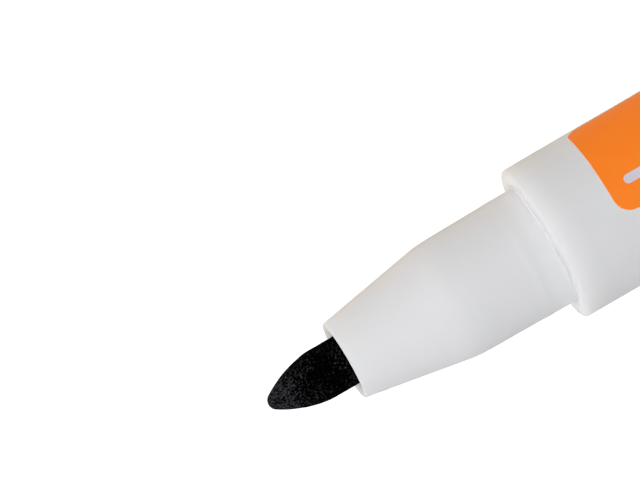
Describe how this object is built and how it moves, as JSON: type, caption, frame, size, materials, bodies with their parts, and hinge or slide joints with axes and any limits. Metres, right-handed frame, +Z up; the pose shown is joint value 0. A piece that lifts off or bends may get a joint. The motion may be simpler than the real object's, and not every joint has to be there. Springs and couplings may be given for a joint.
{
  "type": "whiteboard marker",
  "caption": "Bullet-nib dry-wipe marker with a stepped white barrel, tapered nose and a fluted cap posted on the rear stub.",
  "frame": {"origin": "on the surface that the marker lies on, below its axis, midway along its length with the cap posted", "axes": "+X along the marker's axis from the nib to the posted cap, +Z up through the middle of the label, +Y across"},
  "size_m": [0.1646, 0.0192, 0.0176],
  "materials": {
    "barrel_plastic": "satin moulded polypropylene",
    "nose_plastic": "satin moulded polypropylene",
    "label_film": "printed film, soft gloss",
    "nib_felt": "sintered polyester fibre, ink-soaked",
    "reservoir_fibre": "polyester fibre bundle, ink-soaked",
    "clear_film": "clear wrap",
    "cap_plastic": "moulded polypropylene, soft gloss",
    "liner_plastic": "natural polyethylene"
  },
  "bodies": {
    "marker": {"barrel": "barrel_plastic", "label": "label_film", "nose_cone": "nose_plastic", "nib": "nib_felt", "reservoir_core": "reservoir_fibre", "reservoir_film": "clear_film", "end_plug": "cap_plastic"},
    "cap": {"cap_shell": "cap_plastic", "cap_liner": "liner_plastic"}
  },
  "joints": [
    {"name": "cap_slide", "type": "slide", "parent": "marker", "child": "cap", "axis": [1, 0, 0], "range_m": [0, 0.025]}
  ]
}
